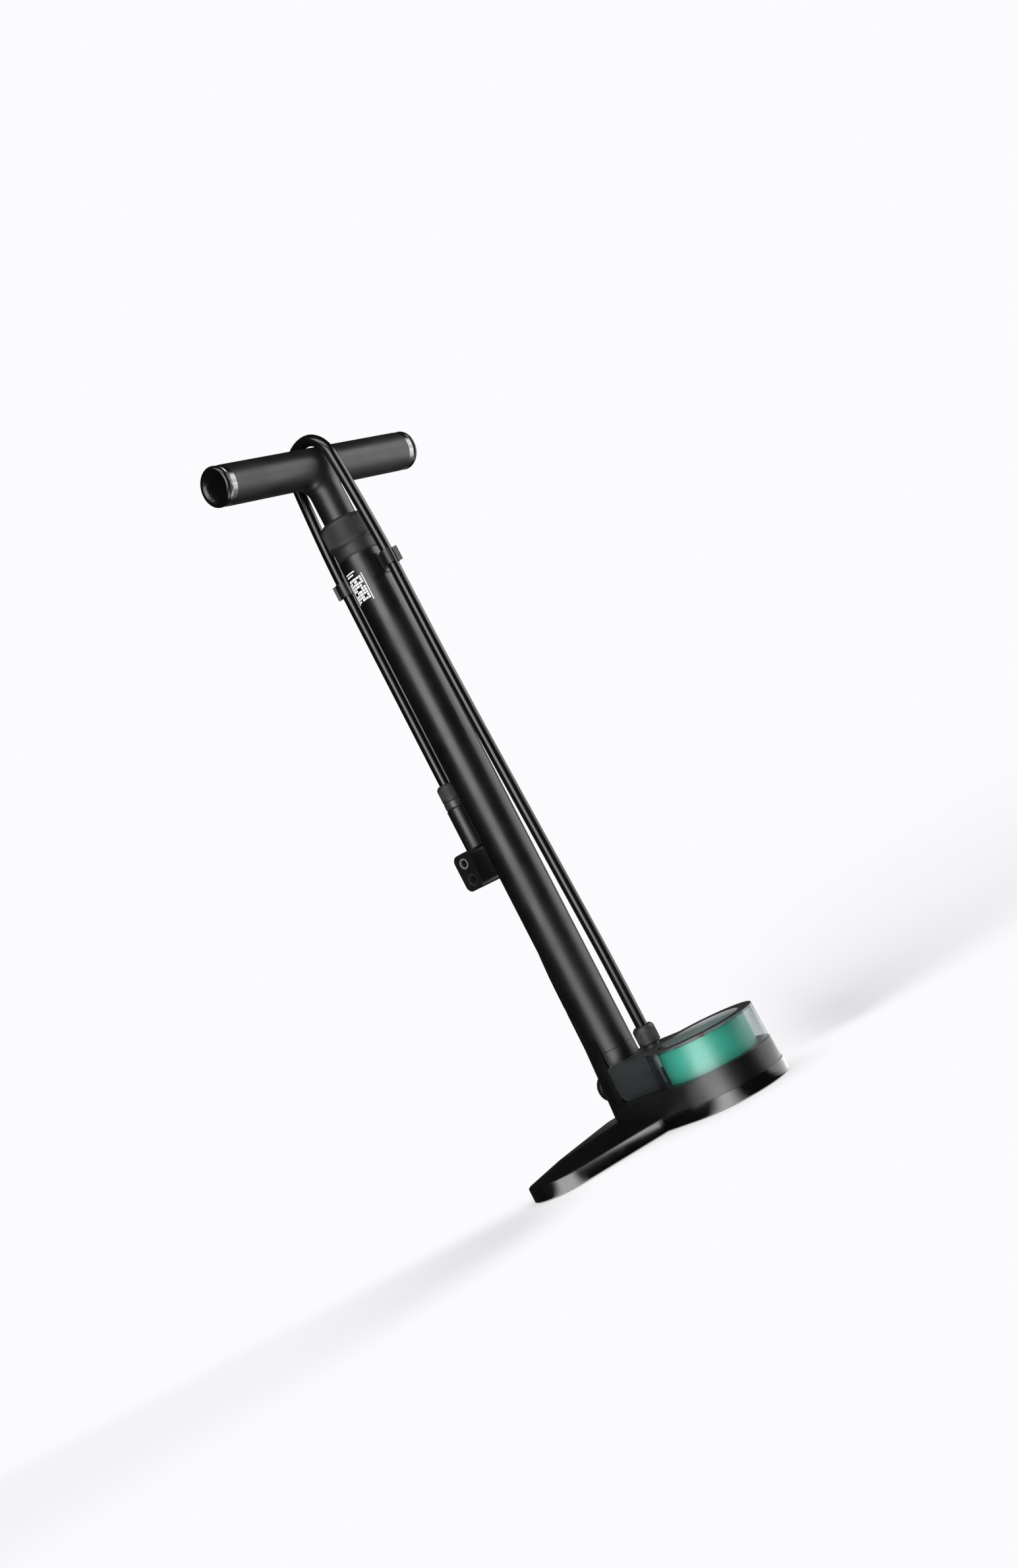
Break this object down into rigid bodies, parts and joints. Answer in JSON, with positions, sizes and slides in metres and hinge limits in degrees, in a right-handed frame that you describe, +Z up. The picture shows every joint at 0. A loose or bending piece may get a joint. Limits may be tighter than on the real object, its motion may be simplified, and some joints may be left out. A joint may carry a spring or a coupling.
{
  "type": "bicycle floor pump",
  "caption": "Upright floor pump with a T-handle, winged foot, round pressure gauge under a clear cover, and a hose over the handle ending in a two-port valve chuck.",
  "frame": {"origin": "on the floor under the barrel's axis, on the face of the rubber pad there", "axes": "+Z up along the barrel, X along the handle and the two wings of the foot, the gauge towards -Y"},
  "size_m": [0.287, 0.182, 0.6445],
  "materials": {
    "gloss_black": "gloss",
    "foot_metal": "gloss black paint over a casting",
    "foot_housing": "satin black",
    "rubber": "matt",
    "steel": "zinc plated",
    "barrel_metal": "satin black anodised",
    "label": "printed",
    "cap_plastic": "matt with a fine grain",
    "bearing_plastic": "natural",
    "valve_metal": "as cast",
    "brass": "machined",
    "gloss_fitting": "gloss",
    "clear_cover": "clear, lightly smoked",
    "ring_green": "green anodised",
    "dial": "printed",
    "needle_red": "satin",
    "fitting_dark": "matt black anodised",
    "chuck_metal": "satin black anodised",
    "hose_rubber": "gloss",
    "pale_ring": "satin",
    "seal_grey": "matt",
    "grip": "matt, soft touch",
    "bare_tube": "drawn",
    "rod_chrome": "polished",
    "end_ring": "polished black anodised"
  },
  "bodies": {
    "base": {"base_slab": "foot_metal", "base_housing": "foot_housing", "rubber_pads": "rubber", "base_screws": "steel", "barrel_foot": "barrel_metal", "foot_seal": "rubber", "barrel_tube": "barrel_metal", "barrel_label": "label", "top_cap": "cap_plastic", "cap_seal": "rubber", "rod_bush": "bearing_plastic", "wiper_seal": "rubber", "manifold": "valve_metal", "valve_seat": "brass", "valve_spring": "steel", "valve_plug": "gloss_fitting", "gauge_cover": "clear_cover", "cover_trim": "gloss_fitting", "gauge_ring": "ring_green", "gauge_dial": "dial", "movement_plate": "brass", "bourdon_tube": "brass", "gland_stem": "fitting_dark", "gland_nut": "fitting_dark", "hose_clip_front": "gloss_fitting", "hose_clip_rear": "gloss_fitting", "hose": "hose_rubber", "chuck_nut": "fitting_dark", "chuck_ring": "chuck_metal", "chuck_body": "chuck_metal", "chuck_head": "chuck_metal", "port_ring": "pale_ring", "seal_small": "seal_grey", "seal_large": "rubber", "lever_pin": "steel"},
    "plunger": {"handle_shell": "grip", "handle_tube": "bare_tube", "end_ring_left": "end_ring", "end_ring_right": "end_ring", "end_cap_left": "gloss_black", "end_cap_right": "gloss_black", "rod_bolt": "steel", "piston_rod": "rod_chrome", "rod_bumper": "rubber", "piston_core": "bearing_plastic", "piston_ring": "bearing_plastic", "piston_seal": "rubber", "piston_bolt": "steel"},
    "needle": {"gauge_needle": "needle_red", "needle_arbor": "brass"},
    "sector": {"sector_gear": "brass"},
    "poppet": {"valve_poppet": "brass"},
    "lever": {"chuck_lever": "gloss_fitting"}
  },
  "joints": [
    {"name": "plunger_slide", "type": "slide", "parent": "base", "child": "plunger", "axis": [0, 0, 1], "range_m": [0, 0.4], "deforming": ["hose"]},
    {"name": "sector_turn", "type": "hinge", "parent": "base", "child": "sector", "pos_m": [0.018, -0.09, 0.04], "axis": [0, 0, 1], "range_deg": [0, 54], "stiffness_Nm_per_rad": 0.01},
    {"name": "needle_turn", "type": "hinge", "parent": "base", "child": "needle", "pos_m": [0, -0.09, 0.04], "axis": [0, 0, 1], "range_deg": [-270, 0]},
    {"name": "poppet_slide", "type": "slide", "parent": "base", "child": "poppet", "axis": [0, 1, 0], "range_m": [0, 0.0025], "stiffness_N_per_m": 150, "deforming": ["valve_spring"]},
    {"name": "lever_turn", "type": "hinge", "parent": "base", "child": "lever", "pos_m": [0.0126, 0.032, 0.2625], "axis": [0, 1, 0], "range_deg": [0, 90]}
  ],
  "couplings": [
    {"joint": "needle_turn", "follows": "sector_turn", "ratio": -5}
  ]
}
